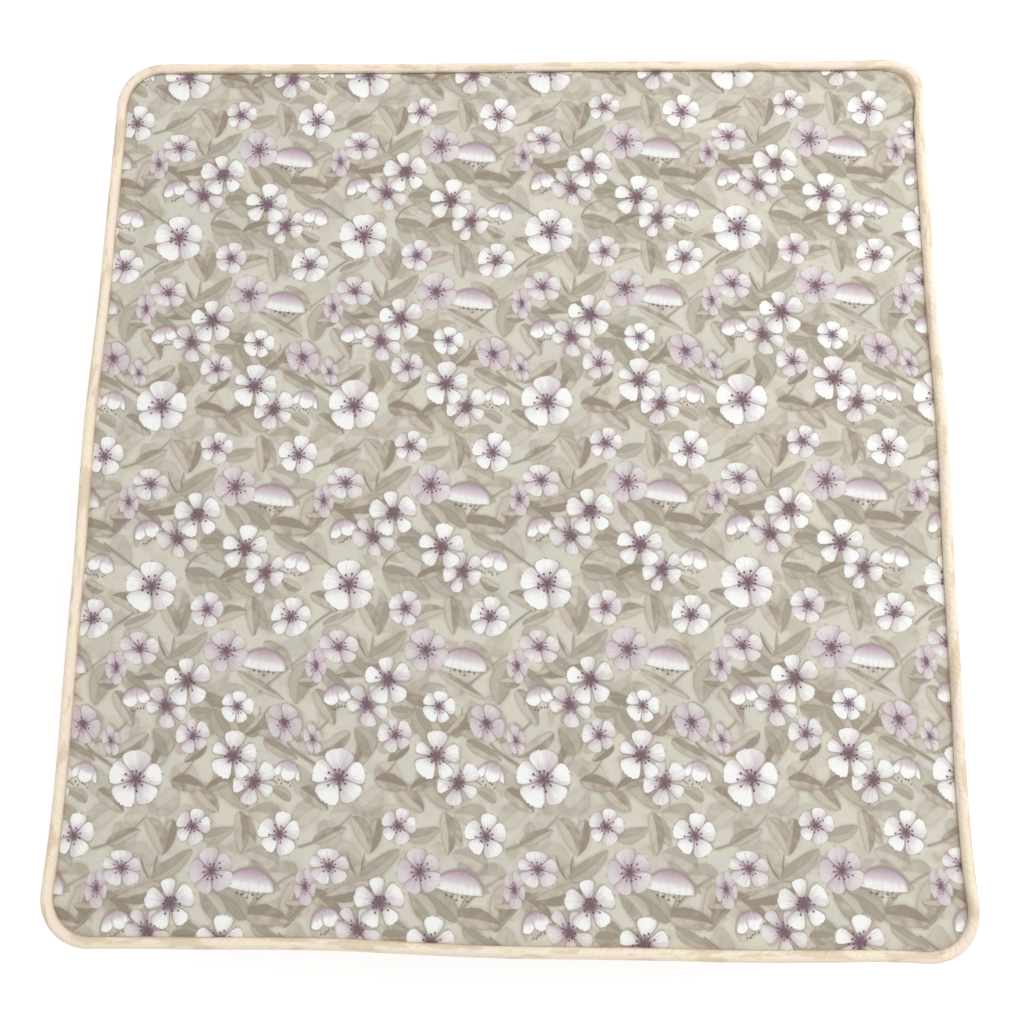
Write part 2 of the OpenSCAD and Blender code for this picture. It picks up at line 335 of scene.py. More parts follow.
class Num:
    """A number in a node tree. Arithmetic on it adds nodes."""

    def __init__(self, tree, socket):
        self.tree, self.socket = tree, socket

    def op(self, operation, *others):
        node = self.tree.nodes.new("ShaderNodeMath")
        node.operation = operation
        for place, value in enumerate((self, *others)):
            plug(self.tree, node.inputs[place], value)
        return Num(self.tree, node.outputs[0])

    def __add__(self, other):
        return self.op("ADD", other)

    def __sub__(self, other):
        return self.op("SUBTRACT", other)

    def __rsub__(self, other):
        return (self * -1) + other

    def __mul__(self, other):
        return self.op("MULTIPLY", other)

    def __truediv__(self, other):
        return self.op("DIVIDE", other)

    __radd__ = __add__
    __rmul__ = __mul__

    def clamped(self):
        made = self.op("MULTIPLY", 1.0)
        made.socket.node.use_clamp = True
        return made

    def ramp(self, low, high):
        """0 at low to 1 at high, smoothly, and the other way round if low is above high."""
        if low > high:
            return 1 - self.ramp(high, low)
        node = self.tree.nodes.new("ShaderNodeMapRange")
        node.interpolation_type = "SMOOTHSTEP"
        plug(self.tree, node.inputs["Value"], self)
        node.inputs["From Min"].default_value = low
        node.inputs["From Max"].default_value = high
        return Num(self.tree, node.outputs["Result"])


def plug(tree, socket, value):
    if isinstance(value, Num):
        tree.links.new(value.socket, socket)
    elif isinstance(value, bpy.types.NodeSocket):
        tree.links.new(value, socket)
    else:
        socket.default_value = value


def split(tree, socket):
    node = tree.nodes.new("ShaderNodeSeparateXYZ")
    tree.links.new(socket, node.inputs[0])
    return [Num(tree, o) for o in node.outputs]


def join(tree, x, y, z=0.0):
    node = tree.nodes.new("ShaderNodeCombineXYZ")
    for place, value in enumerate((x, y, z)):
        plug(tree, node.inputs[place], value)
    return node.outputs[0]


def mix(tree, amount, first, second):
    """The colour first where amount is 0, and second where it is 1."""
    node = tree.nodes.new("ShaderNodeMix")
    node.data_type = "RGBA"
    plug(tree, node.inputs["Factor"], amount)
    plug(tree, node.inputs[6], first)
    plug(tree, node.inputs[7], second)
    return node.outputs[2]


def noise(tree, vector, scale, detail=2.0, roughness=0.5, stretch=(1, 1, 1)):
    if stretch != (1, 1, 1):
        mapping = tree.nodes.new("ShaderNodeMapping")
        mapping.inputs["Scale"].default_value = stretch
        tree.links.new(vector, mapping.inputs["Vector"])
        vector = mapping.outputs[0]
    node = tree.nodes.new("ShaderNodeTexNoise")
    tree.links.new(vector, node.inputs["Vector"])
    node.inputs["Scale"].default_value = scale
    node.inputs["Detail"].default_value = detail
    node.inputs["Roughness"].default_value = roughness
    return Num(tree, node.outputs["Fac"])


def chance(tree, number):
    """Three steady random numbers for each whole number or seed."""
    node = tree.nodes.new("ShaderNodeTexWhiteNoise")
    node.noise_dimensions = "1D"
    plug(tree, node.inputs["W"], number)
    return split(tree, node.outputs["Color"])


def attribute(tree, name):
    node = tree.nodes.new("ShaderNodeAttribute")
    node.attribute_name = name
    return node.outputs["Vector"]


def new_group(name):
    """A node group that paints one motif over the colour it is given."""
    group = bpy.data.node_groups.new(name, "ShaderNodeTree")
    group.interface.new_socket("Local", in_out="INPUT", socket_type="NodeSocketVector")
    group.interface.new_socket("Under", in_out="INPUT", socket_type="NodeSocketColor")
    group.interface.new_socket("Wash", in_out="INPUT", socket_type="NodeSocketFloat")
    group.interface.new_socket("Color", in_out="OUTPUT", socket_type="NodeSocketColor")
    inside = group.nodes.new("NodeGroupInput")
    outside = group.nodes.new("NodeGroupOutput")
    u, v, code = split(group, inside.outputs["Local"])
    tint = code.op("FLOOR") * 0.1
    seed = code.op("FRACT")
    return group, inside.outputs["Under"], Num(group, inside.outputs["Wash"]), u, v, tint, seed, outside


def paint(tree, group, local, under, wash):
    """Paints a group's motif over a colour."""
    node = tree.nodes.new("ShaderNodeGroup")
    node.node_tree = group
    plug(tree, node.inputs["Local"], local)
    plug(tree, node.inputs["Under"], under)
    plug(tree, node.inputs["Wash"], wash)
    return node.outputs["Color"]


# ---- the print: apple blossom on a warm grey ground ----

GROUND = linear(208, 204, 191)
GROUND_WARM = linear(211, 206, 191)
GROUND_COOL = linear(203, 202, 190)
PETAL_WHITE = linear(241, 242, 239)
PETAL_SHADE = linear(219, 214, 213)
PETAL_LILAC = linear(203, 189, 194)
MAUVE = linear(152, 124, 134)
HEART = linear(112, 84, 96)
ANTHER = linear(82, 62, 70)
SHADOW = linear(146, 136, 120)
LEAF_LIGHT = linear(199, 189, 175)
LEAF_TAUPE = linear(148, 135, 119)
LEAF_SAGE = linear(172, 168, 151)


def blossom_group():
    """An open blossom seen from above: five uneven petals, a dark heart and a ring of stamens."""
    g, under, wash, u, v, tint, seed, out = new_group("blossom")
    star = tint.op("FLOOR")
    tint = tint.op("FRACT")
    r = (u * u + v * v).op("SQRT")
    theta = v.op("ARCTAN2", u)
    uneven = (theta * 2 + seed * 20).op("SINE") * 0.11 + (theta * 3 + seed * 50).op("SINE") * 0.07
    sector = (theta + uneven) * (5 / math.tau)
    petal = sector.op("ROUND")
    turn = (sector - petal) * (math.tau / 5)
    rx, ry, rz = chance(g, petal * 3.7 + seed * 91)
    vein = noise(g, join(g, r * 0.9, turn * 5.5, petal + seed * 40), 2.4, 1.0)
    length = (0.88 + rx * 0.12) * (1 + (vein - 0.5) * 0.14 + (wash - 0.5) * 0.1)
    x = r * turn.op("COSINE") / length
    y = r * turn.op("SINE") / length
    taper = (1 - x.op("POWER", 5.0)).op("MAXIMUM", 0.0).op("SQRT")
    half = (0.6 + ry * 0.14 - star * 0.1) * x.op("POWER", 0.85 + star * 0.25) * taper
    depth_in = half - y.op("ABSOLUTE")
    on_petal = depth_in.ramp(0.0, 0.03)
    near = depth_in.ramp(-0.13, 0.0) * x.ramp(1.16, 1.0)
    side = turn * (5 / math.pi)

    glow = r.ramp(0.72, 0.12)
    shade = tint * 1.05 + side.ramp(0.1, -1.0) * 0.5 + glow * 0.6 + (vein - 0.5) * 0.7 + rz * 0.36 - 0.14
    colour = mix(g, shade.ramp(0.0, 0.5), PETAL_WHITE, PETAL_SHADE)
    colour = mix(g, (shade - 0.35).ramp(0.0, 0.75), colour, PETAL_LILAC)
    rim = depth_in.ramp(0.07, 0.015) * x.ramp(1.0, 0.6)
    colour = mix(g, rim * (0.12 + tint * 0.5), colour, MAUVE)
    gap = ((math.pi / 5 - turn.op("ABSOLUTE")) * r).ramp(0.06, 0.005)
    colour = mix(g, gap * (0.3 + glow * 0.7), colour, MAUVE)
    streak = vein.ramp(0.5, 0.72) * r.ramp(0.8, 0.25)
    colour = mix(g, streak * (0.25 + tint * 0.8 + star * 0.15), colour, MAUVE)
    mid_line = (turn * r).op("ABSOLUTE").ramp(0.045, 0.0) * r.ramp(0.55, 0.2)
    colour = mix(g, mid_line * 0.4, colour, MAUVE)

    behind = mix(g, near * 0.55, under, SHADOW)
    between = r.ramp(0.7, 0.25) * 0.45
    behind = mix(g, between, behind, MAUVE)
    colour = mix(g, on_petal, behind, colour)
    heart = (r + (vein - 0.5) * 0.45 - star * 0.05).ramp(0.34, 0.06)
    colour = mix(g, heart * 0.85, colour, HEART)

    fan = theta * (11 / math.tau) + seed * 5
    spoke = fan.op("ROUND")
    lean = (fan - spoke) * (math.tau / 11)
    long_, bend, _ = chance(g, spoke * 5.3 + seed * 57)
    tip = 0.2 + long_ * 0.24 + (theta - seed * 6).op("COSINE") * 0.07
    along = r * lean.op("COSINE")
    aside = (r * lean.op("SINE") + (bend - 0.5) * 0.1).op("ABSOLUTE")
    thread = aside.ramp(0.026, 0.008) * (tip - along).ramp(-0.01, 0.02)
    colour = mix(g, thread * 0.6, colour, HEART)
    to_tip = along - tip
    dot = (to_tip * to_tip + aside * aside).op("SQRT").ramp(0.06, 0.03)
    g.links.new(mix(g, dot * 0.9, colour, ANTHER), out.inputs["Color"])
    return g


def side_flower_group():
    """A blossom or bud seen from the side: petals hanging from a darker crown, with stamens below."""
    g, under, wash, u, v, tint, seed, out = new_group("side_flower")
    lobes = tint.op("FLOOR")
    lilac_tint = tint.op("FRACT")
    wide = u * (1 + v * 0.15)
    r = (wide * wide + v * v).op("SQRT")
    ribs = noise(g, join(g, u * 3.2, v * 0.8, seed * 40), 2.2, 1.0)
    petal = u * lobes + seed
    hang = (petal.op("FRACT") - 0.5).op("ABSOLUTE")
    shell = 0.97 - r + (wash - 0.5) * 0.1
    hem = v + 0.42 - hang * hang * lobes.ramp(0.2, 0.8) * 1.3 - u * u * 0.15
    inside = shell.op("MINIMUM", hem)
    on_cup = inside.ramp(0.0, 0.05)
    near = inside.ramp(-0.14, 0.0)
    crown = v.ramp(-0.1, 0.85)
    edge = shell.ramp(0.2, 0.0) * v.ramp(-0.4, 0.2)
    shade = crown * 1.0 + lilac_tint * 0.6 + (ribs - 0.5) * (0.25 + 0.5 * lobes) + edge * 0.5 - 0.2
    colour = mix(g, shade.ramp(0.0, 0.4), PETAL_WHITE, PETAL_SHADE)
    colour = mix(g, (shade - 0.2).ramp(0.0, 0.55), colour, PETAL_LILAC)
    colour = mix(g, (shade - 0.65).ramp(0.0, 0.75) * 0.75, colour, MAUVE)
    parting = hang.ramp(0.4, 0.5) * lobes.ramp(0.2, 0.8) * v.ramp(0.7, 0.2)
    colour = mix(g, parting * 0.5, colour, MAUVE)
    colour = mix(g, inside.ramp(0.08, 0.02) * 0.2, colour, MAUVE)
    fan = u * 5 + seed * 7
    spoke = fan.op("ROUND")
    long_, lean, _ = chance(g, spoke * 5.3 + seed * 57)
    tip = -0.42 - long_ * 0.32
    bend = (fan - spoke) * 0.2 + (lean - 0.5) * 0.12
    middle = u.op("ABSOLUTE").ramp(0.6, 0.45)
    thread = bend.op("ABSOLUTE").ramp(0.03, 0.01) * (v - tip).ramp(-0.02, 0.03)
    thread = thread * v.ramp(-0.2, -0.4) * middle
    to_tip = v - tip
    dot = (to_tip * to_tip + bend * bend).op("SQRT").ramp(0.085, 0.05) * middle
    behind = mix(g, near * 0.45, under, SHADOW)
    flower = mix(g, on_cup, behind, colour)
    flower = mix(g, thread * 0.55, flower, MAUVE)
    g.links.new(mix(g, dot * 0.8, flower, ANTHER), out.inputs["Color"])
    return g


def leaf_group():
    """A leaf or a twig: u runs along it from 0 to 1, and v across it from -1 to 1."""
    g, under, wash, u, v, tint, seed, out = new_group("leaf")
    twig = tint.op("FLOOR")
    tint = tint.op("FRACT")
    belly = 1 - (u - 0.5) * (u - 0.5) * 4
    across = v * 0.75 + (seed - 0.5) * (0.7 + 0.5 * twig) * belly
    skew = u.op("MAXIMUM", 0.0).op("POWER", 0.8)
    blade = ((1 - skew) * skew * 4).op("MAXIMUM", 0.0).op("POWER", 0.7) * 0.6
    stick = 0.15 - 0.07 * u
    half = blade + (stick - blade) * twig
    inside = half - across.op("ABSOLUTE") + (wash - 0.5) * 0.26 * (1 - twig)
    on_leaf = inside.ramp(0.0, 0.06) * u.ramp(-0.01, 0.02) * u.ramp(1.01, 0.98)
    one_side = across.ramp(-0.05, 0.05)
    ribs = (across.op("ABSOLUTE") * 7 - u * 17).op("SINE")
    tone = tint * 1.15 + (one_side - 0.5) * 0.75 + (wash - 0.5) * 1.9 + ribs * 0.1
    colour = mix(g, tone.ramp(-0.1, 1.1), LEAF_LIGHT, LEAF_TAUPE)
    colour = mix(g, seed.ramp(0.5, 0.7) * 0.6, colour, LEAF_SAGE)
    colour = mix(g, tint.ramp(0.85, 0.9) * 0.8, colour, MAUVE)
    rib = across.op("ABSOLUTE").ramp(0.08, 0.02) * u.ramp(0.95, 0.5)
    colour = mix(g, rib * 0.5, colour, SHADOW)
    rim = inside.ramp(0.15, 0.03)
    colour = mix(g, rim * 0.55, colour, SHADOW)
    around_it = inside.ramp(-0.2, 0.0) * u.ramp(-0.05, 0.05) * u.ramp(1.05, 0.95) * 0.25
    behind = mix(g, around_it, under, SHADOW)
    g.links.new(mix(g, on_leaf * (0.8 + 0.2 * tint), behind, colour), out.inputs["Color"])
    return g


# The repeat is 86 mm across and 163 mm down, and its rows climb slightly to the right.
REPEAT = 86.0
DROP = 163.0
CLIMB = 1.5
ORIGIN = (-152.0, 177.0)
UPPER_SPRAY_DROPS = (0.0, 72.5)
LOWER_SPRAY_DROPS = (0.0, 89.0)

# Open blossoms: across, down, radius, spin in degrees, squash, its direction, lilac from 0 to 9 (10 more for
# narrow petals)
UPPER_BLOSSOMS = [
    (15, 33.5, 10.8, 25, 1.0, 0, 10),
    (21.5, 3, 7.9, 3, 1.0, 0, 2),
    (58, 6.5, 9.2, 12, 1.0, 0, 0),
    (31, 21, 9.9, 35, 1.0, 0, 5),
    (79.5, 19.5, 9.0, 20, 0.84, 70, 3),
    (70, 27.5, 7.8, 60, 0.62, 10, 6),
    (6.5, 44, 10.2, 52, 0.85, 45, 13),
]
LOWER_BLOSSOMS = [
    (36.5, 48.5, 10.6, 13, 1.0, 0, 10),
    (46, 59.5, 10.2, 40, 0.85, -30, 12),
]
OTHER_BLOSSOMS = [
    (82.5, 65, 12.2, 19, 1.0, 0, 0),
    (82, 147, 12.2, 19, 1.0, 0, 0),
    (37, 117, 7.1, 5, 1.0, 0, 0),
    (19, 129, 7.5, 30, 1.0, 0, 3),
    (57.5, 124, 8.8, 60, 0.85, 30, 6),
    (70, 131, 6.6, 20, 0.6, 20, 6),
]
# Blossoms and buds from the side: across, down, half width, height, turn in degrees, petals, lilac
UPPER_SIDE = [
    (47.5, 26.5, 10.2, 7.2, -8, 0, 6),
    (79.5, 41.5, 6.4, 6.2, 15, 1, 3),
]
LOWER_SIDE = [(59.5, 56.5, 6.4, 6.2, -15, 1, 1)]
# Leaves: across and down at the stalk, across and down at the tip, width, tone from 0 to 9. A tone from 10
# is a twig, which winds within its width, and a tone of 9 or 19 is mauve.
UPPER_LEAVES = [
    (2, -0.5, 10, 14.5, 9, 2),
    (13, 0, 10, 14.5, 8, 6),
    (25, 7.5, 39, 3.5, 8, 3),
    (40.5, -3, 42.5, 14.5, 8, 3),
    (43, -1, 48, 11, 7, 2),
    (66, 12, 88, -2, 7, 15),
    (72, 10, 86, 4, 6, 3),
    (6.5, 24, 22.5, 12, 9, 4),
    (6, 24, 1, 14, 2.6, 5),
    (7.5, 24, 8, 14, 2.2, 5),
    (47, 17, 60, 29, 7, 1),
    (13, 26, -8, 32, 10, 6),
    (16.5, 46, 27, 46, 7, 8),
    (72, 34, 62, 34, 6, 4),
    (72, 29, 87, 41, 9, 6),
    (22, 41, 35, 44, 6, 16),
    (46, 39, 66, 22, 7, 14),
    (68, 25, 62, 44, 13, 3),
    (20, 40, 34, 54, 14, 4),
]
LOWER_LEAVES = [
    (38, 41, 27, 28, 11, 2),
    (47, 40, 31, 29, 11, 8),
    (46, 38, 65, 41, 11, 6),
    (45, 38, 51, 28, 6, 17),
    (43, 38, 47, 28, 5, 16),
    (60, 46, 81, 61, 8, 16),
    (49, 42, 64, 50, 7, 5),
    (63, 43, 80, 28, 7, 15),
    (11, 58.5, 25, 61.5, 9, 7),
    (11, 59, 20, 50, 6, 16),
    (26, 62.5, 39, 57.5, 6.5, 8),
    (21, 60, 32, 71, 9, 3),
    (62, 67, 53, 62, 6, 4),
    (40, 52, 56, 60, 5, 19),
    (30, 52, 44, 70, 13, 3),
]
OTHER_LEAVES = [
    (66, 69, 78, 77, 8, 5),
    (66, 151, 78, 160, 8, 5),
    (9, 137, 2, 126, 11, 5),
    (3, 142, 12, 130, 9, 6),
    (36, 102, 57, 114, 5, 2),
    (27, 118, 37, 132, 9, 6),
    (70, 110, 79, 125, 9, 3),
    (59, 132, 73, 142, 7, 16),
    (49, 120, 40, 129, 6, 5),
    (25, 133, 16, 140, 6, 8),
    (-4, 95, 9, 104, 9, 4),
    (86, 128, 70, 138, 8, 4),
]
# How many motifs of each kind can lie on one another at any place
SLOTS = {"bloom": 3, "side": 1, "leaf": 5}
OFF_MOTIF = 9.0                                 # a place that no motif reaches, in a motif's own coordinates
SEED_STEP = 0.381966                            # spreads the motifs' seeds evenly


def sprays(upper, lower, other, rows):
    """All the motifs of one kind in one repeat, topmost first. rows are the places of their down values."""
    found = list(other)
    for drops, spray in ((LOWER_SPRAY_DROPS, lower), (UPPER_SPRAY_DROPS, upper)):
        for drop in drops:
            found += [tuple(value + drop if i in rows else value for i, value in enumerate(m)) for m in spray]
    return found


def turned(degrees):
    """A plan rotation."""
    c, s = math.cos(math.radians(degrees)), math.sin(math.radians(degrees))
    return np.array([[c, -s], [s, c]])


def blossom_frame(m):
    """A motif's centre, the matrix that takes the cloth to its own coordinates, its reach and its lilac."""
    across, down, radius, spin, squash, direction, lilac = m
    press = turned(direction) @ np.diag([1 / squash, 1]) @ turned(-direction)
    return (across, down), turned(-spin) @ press / radius, radius * 1.15, lilac


def side_frame(m):
    """As blossom_frame, for a flower from the side. Its lilac also carries whether it has petals."""
    across, down, half, height, turn, petals, lilac = m
    matrix = np.diag([1 / half, 1 / height]) @ turned(-turn)
    return (across, down), matrix, max(half, height) * 1.1, lilac + 10 * petals


def leaf_frame(m):
    """As blossom_frame, for a leaf or twig, with its tone for its lilac."""
    across, down, tip_across, tip_down, width, tone = m
    run = np.array([tip_across - across, down - tip_down])
    length = np.linalg.norm(run)
    along = run / length
    matrix = np.array([along / length, np.array([-along[1], along[0]]) / (width / 2)])
    return (across, down), matrix, length * 1.05 + width / 2, tone


MOTIFS = {
    "bloom": [blossom_frame(m) for m in sprays(UPPER_BLOSSOMS, LOWER_BLOSSOMS, OTHER_BLOSSOMS, [1])],
    "side": [side_frame(m) for m in sprays(UPPER_SIDE, LOWER_SIDE, [], [1])],
    "leaf": [leaf_frame(m) for m in sprays(UPPER_LEAVES, LOWER_LEAVES, OTHER_LEAVES, [1, 3])],
}


def covers(kind, local, margin):
    """Which faces a motif may reach, from the faces' centres and sizes in the motif's own coordinates."""
    u, v = local.T
    if kind == "leaf":
        return (u > -margin[:, 0]) & (u < 1 + margin[:, 0]) & (abs(v) < 1 + margin[:, 1])
    if kind == "side":
        return (abs(u) < 1.05 + margin[:, 0]) & (v < 1.05 + margin[:, 1]) & (v > -0.85 - margin[:, 1])
    return np.hypot(u, v) < 1.03 + margin.max(1)


def right_side(mesh):
    """Which faces lie on the cloth's right side. The plain reverse faces the middle of the case."""
    normals = np.zeros(len(mesh.polygons) * 3, np.float32)
    centres = np.zeros(len(mesh.polygons) * 3, np.float32)
    mesh.polygons.foreach_get("normal", normals)
    mesh.polygons.foreach_get("center", centres)
    outward = (centres.reshape(-1, 3) - (0, 0, TOP / 2 * MM)) * (1, 1, 8)
    return (normals.reshape(-1, 3) * outward).sum(1) > 0


def lay_print(obj, shift=(0.0, 0.0)):
    """Stores, for each face corner, where it is on each motif that reaches its face."""
    mesh = obj.data
    place = np.zeros(len(mesh.loops) * 3, np.float32)
    mesh.attributes["flat"].data.foreach_get("vector", place)
    place = place.reshape(-1, 3)[:, :2] + np.array(shift)
    corners = place.reshape(-1, 4, 2)
    centres = corners.mean(1)
    spread = np.linalg.norm(corners - centres[:, None], axis=2).max(1)
    low, high = centres.min(0), centres.max(0)
    shows = right_side(mesh)
    column = np.array([REPEAT, CLIMB])
    row = np.array([0.0, -DROP])
    left, right = (low[0] - ORIGIN[0]) / REPEAT, (high[0] - ORIGIN[0]) / REPEAT
    top, bottom = (ORIGIN[1] - high[1]) / DROP, (ORIGIN[1] - low[1]) / DROP
    columns = range(math.floor(left) - 1, math.ceil(right) + 1)
    rows = range(math.floor(top) - 1, math.ceil(bottom) + 2)
    for kind, slots in SLOTS.items():
        used = np.where(shows, 0, slots)
        local = np.full((slots, len(centres), 4, 3), OFF_MOTIF, np.float32)
        for number, (spot, matrix, reach, tone) in enumerate(MOTIFS[kind]):
            seed = (number * SEED_STEP) % 1 * 0.9 + 0.05
            stretch = np.linalg.norm(matrix, axis=1)
            for i in columns:
                for j in rows:
                    centre = np.array(ORIGIN) + column * (i + spot[0] / REPEAT) + row * (j + spot[1] / DROP)
                    if ((centre + reach < low) | (centre - reach > high)).any():
                        continue
                    near = np.flatnonzero(abs(centres - centre).max(1) < reach + spread)
                    local_centres = (centres[near] - centre) @ matrix.T
                    hit = near[covers(kind, local_centres, spread[near, None] * stretch)]
                    hit = hit[used[hit] < slots]
                    local[used[hit], hit, :, :2] = (corners[hit] - centre) @ matrix.T
                    local[used[hit], hit, :, 2] = tone + seed
                    used[hit] += 1
        for k in range(slots):
            store(mesh, f"{kind}_{k}", local[k].reshape(-1, 3))


# ---- materials ----

def new_material(name, roughness, sheen=0.0):
    material = bpy.data.materials.new(name)
    material.use_nodes = True
    tree = material.node_tree
    shader = tree.nodes["Principled BSDF"]
    shader.inputs["Roughness"].default_value = roughness
    shader.inputs["Specular IOR Level"].default_value = 0.25
    if sheen:
        shader.inputs["Sheen Weight"].default_value = sheen
        shader.inputs["Sheen Roughness"].default_value = 0.5
    return material, tree, shader


def add_bump(tree, shader, height, distance):
    bump = tree.nodes.new("ShaderNodeBump")
    bump.inputs["Strength"].default_value = 1.0
    bump.inputs["Distance"].default_value = distance
    plug(tree, bump.inputs["Height"], height)
    tree.links.new(bump.outputs[0], shader.inputs["Normal"])


def weave(tree, place, threads_per_mm):
    """Over-and-under threads of a plain weave."""
    x, y, _ = split(tree, place)
    turn = threads_per_mm * math.pi
    warp = (x * turn).op("SINE")
    weft = (y * turn).op("SINE")
    over = (x * (turn * 0.5)).op("SINE") * (y * (turn * 0.5)).op("SINE")
    return warp * warp * 0.5 + weft * weft * 0.5 + over * 0.5


def undergrowth(tree, place, under, wash, group, layer):
    """Faint leaves all over the ground, one in each cell of a grid that repeats with the pattern."""
    columns, rows = 5, 10
    x, y, _ = split(tree, place)
    rise = (x - ORIGIN[0]) * (CLIMB / REPEAT) + ORIGIN[1]
    across = (x - ORIGIN[0]) * (columns / REPEAT) + layer * 0.5
    down = (rise - y) * (rows / DROP) + layer * 0.5
    column, row = across.op("FLOOR"), down.op("FLOOR")
    number = column.op("FLOORED_MODULO", columns) * 13.0 + row.op("FLOORED_MODULO", rows) * 0.37
    spin, tone, strength = chance(tree, number + layer * 7.1)
    u, v = across - column - 0.5, down - row - 0.5
    c, s = (spin * math.tau).op("COSINE"), (spin * math.tau).op("SINE")
    local = join(tree, (u * c + v * s) * 1.1 + 0.5, (v * c - u * s) * 2.6, tone * 5 + 1)
    leafy = paint(tree, group, local, under, wash)
    return mix(tree, strength.ramp(0.4, 0.8) * 0.6, under, leafy)


def printed_cloth():
    material, tree, shader = new_material("printed_cloth", 0.85, 0.08)
    place = attribute(tree, "flat")
    wash = noise(tree, place, 0.16, 3.0)
    broad = noise(tree, place, 0.045, 1.0)
    colour = mix(tree, broad.ramp(0.42, 0.66), GROUND, GROUND_WARM)
    colour = mix(tree, broad.ramp(0.5, 0.3) * 0.8, colour, GROUND_COOL)
    blots = noise(tree, place, 0.085, 2.0)
    colour = mix(tree, blots.ramp(0.52, 0.57) * 0.45, colour, LEAF_LIGHT)
    colour = mix(tree, blots.ramp(0.62, 0.65) * 0.3, colour, LEAF_TAUPE)
    groups = {"leaf": leaf_group(), "side": side_flower_group(), "bloom": blossom_group()}
    for layer in (0, 1):
        colour = undergrowth(tree, place, colour, wash, groups["leaf"], layer)
    for kind, group in groups.items():
        for k in reversed(range(SLOTS[kind])):
            colour = paint(tree, group, attribute(tree, f"{kind}_{k}"), colour, wash)
    tree.links.new(colour, shader.inputs["Base Color"])
    add_bump(tree, shader, weave(tree, place, 2.4) * 0.05 + noise(tree, place, 0.25, 2.0) * 1.2, 0.0003)
    return material


CREAM = linear(247, 233, 209)
PEACH = linear(247, 230, 214)
TAN = linear(225, 208, 181)


def trim_cloth():
    material, tree, shader = new_material("trim_cloth", 0.8, 0.1)
    place = attribute(tree, "flat")
    x, y, _ = split(tree, place)
    patches = noise(tree, join(tree, x * 0.55, y * 2.4), 0.075, 2.0, 0.6)
    blush = noise(tree, place, 0.03, 1.0)
    colour = mix(tree, blush.ramp(0.4, 0.65), CREAM, PEACH)
    colour = mix(tree, patches.ramp(0.5, 0.58) * 0.85, colour, TAN)
    tree.links.new(colour, shader.inputs["Base Color"])
    gathers = noise(tree, join(tree, x + y * 0.7, y * 0.4), 0.45, 2.0)
    add_bump(tree, shader, weave(tree, place, 1.8) * 0.25 + gathers * 2.0, 0.0004)
    return material


def plain_cloth(name, colour, deep, scale, roughness=0.8):
    material, tree, shader = new_material(name, roughness, 0.08)
    place = attribute(tree, "flat")
    shade = noise(tree, place, scale, 3.0)
    tree.links.new(mix(tree, shade.ramp(0.3, 0.75), colour, deep), shader.inputs["Base Color"])
    add_bump(tree, shader, weave(tree, place, 1.6) * 0.3 + noise(tree, place, 0.2, 2.0) * 1.2, 0.0003)
    return material


PRINT = printed_cloth()
TRIM = trim_cloth()
LINING = plain_cloth("lining_cloth", linear(232, 224, 208), linear(222, 213, 196), 0.05)
FOAM = plain_cloth("foam", linear(240, 238, 232), linear(226, 223, 214), 0.8, 0.95)
TAPE = plain_cloth("zip_tape", linear(222, 207, 183), linear(208, 192, 166), 0.4)
BINDING = plain_cloth("binding", linear(228, 214, 192), linear(214, 198, 174), 0.2)
THREAD = plain_cloth("thread", linear(236, 224, 204), linear(226, 212, 190), 0.5, 0.6)


def webbing():
    """Cotton webbing with a herringbone of ribs."""
    material, tree, shader = new_material("webbing", 0.85, 0.1)
    place = attribute(tree, "flat")
    x, y, _ = split(tree, place)
    zigzag = (y * 0.32).op("PINGPONG", 1.0)
    ribs = (x * 3.6 + zigzag * 7.0).op("SINE")
    fleck = noise(tree, place, 1.4, 2.0)
    shade = ribs * 0.35 + 0.5 + (fleck - 0.5) * 0.6
    colour = mix(tree, shade.clamped(), linear(206, 189, 160), linear(228, 213, 187))
    tree.links.new(colour, shader.inputs["Base Color"])
    add_bump(tree, shader, ribs * 0.5 + (x * 7.2).op("SINE") * 0.2, 0.0004)
    return material


def coil_nylon():
    material, _, shader = new_material("zip_coil", 0.42)
    shader.inputs["Base Color"].default_value = linear(214, 199, 174)
    shader.inputs["Specular IOR Level"].default_value = 0.5
    return material


def nickel():
    material, tree, shader = new_material("nickel", 0.3)
    shader.inputs["Metallic"].default_value = 1.0
    coordinates = tree.nodes.new("ShaderNodeTexCoord").outputs["Object"]
    smears = noise(tree, coordinates, 260.0, 3.0)
    scratches = noise(tree, coordinates, 900.0, 2.0, 0.5, (1, 1, 0.08))
    colour = mix(tree, smears, linear(196, 192, 184), linear(222, 219, 212))
    tree.links.new(colour, shader.inputs["Base Color"])
    plug(tree, shader.inputs["Roughness"], smears * 0.22 + scratches * 0.1 + 0.12)
    return material


WEBBING = webbing()
COIL = coil_nylon()
NICKEL = nickel()


# ---- sections to sweep ----

def arc(inset, z, radius, start, end, count):
    angles = np.radians(np.linspace(start, end, count))
    return np.stack([inset + radius * np.cos(angles), z + radius * np.sin(angles)], -1)


